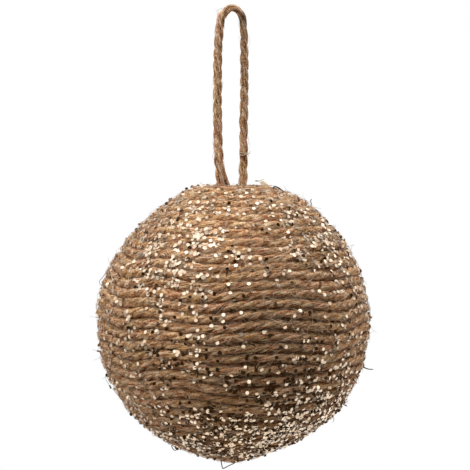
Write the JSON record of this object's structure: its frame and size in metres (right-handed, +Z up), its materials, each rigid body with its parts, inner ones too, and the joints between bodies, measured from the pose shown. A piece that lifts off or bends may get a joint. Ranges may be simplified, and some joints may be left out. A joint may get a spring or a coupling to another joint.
{
  "type": "glitter ball ornament",
  "caption": "Round hanging ornament: a ball closely wound with brown jute cord, sprinkled with pale glitter flakes, with a tall loop of the same cord on its flat top.",
  "frame": {"origin": "where a hook bears, under the crown of the hanging loop", "axes": "+Z up through the crown of the loop and the middle of the ball, +X along the width of the loop, -Y towards the viewer"},
  "size_m": [0.1, 0.1, 0.165],
  "materials": {
    "wound_jute": "natural jute cord, hairy, with a dull gloss",
    "loop_jute": "natural jute cord, hairy, with a dull gloss",
    "glitter": "bright champagne metallised film"
  },
  "bodies": {
    "root": {"wound_ball": "wound_jute", "hanging_loop": "loop_jute"}
  },
  "joints": []
}
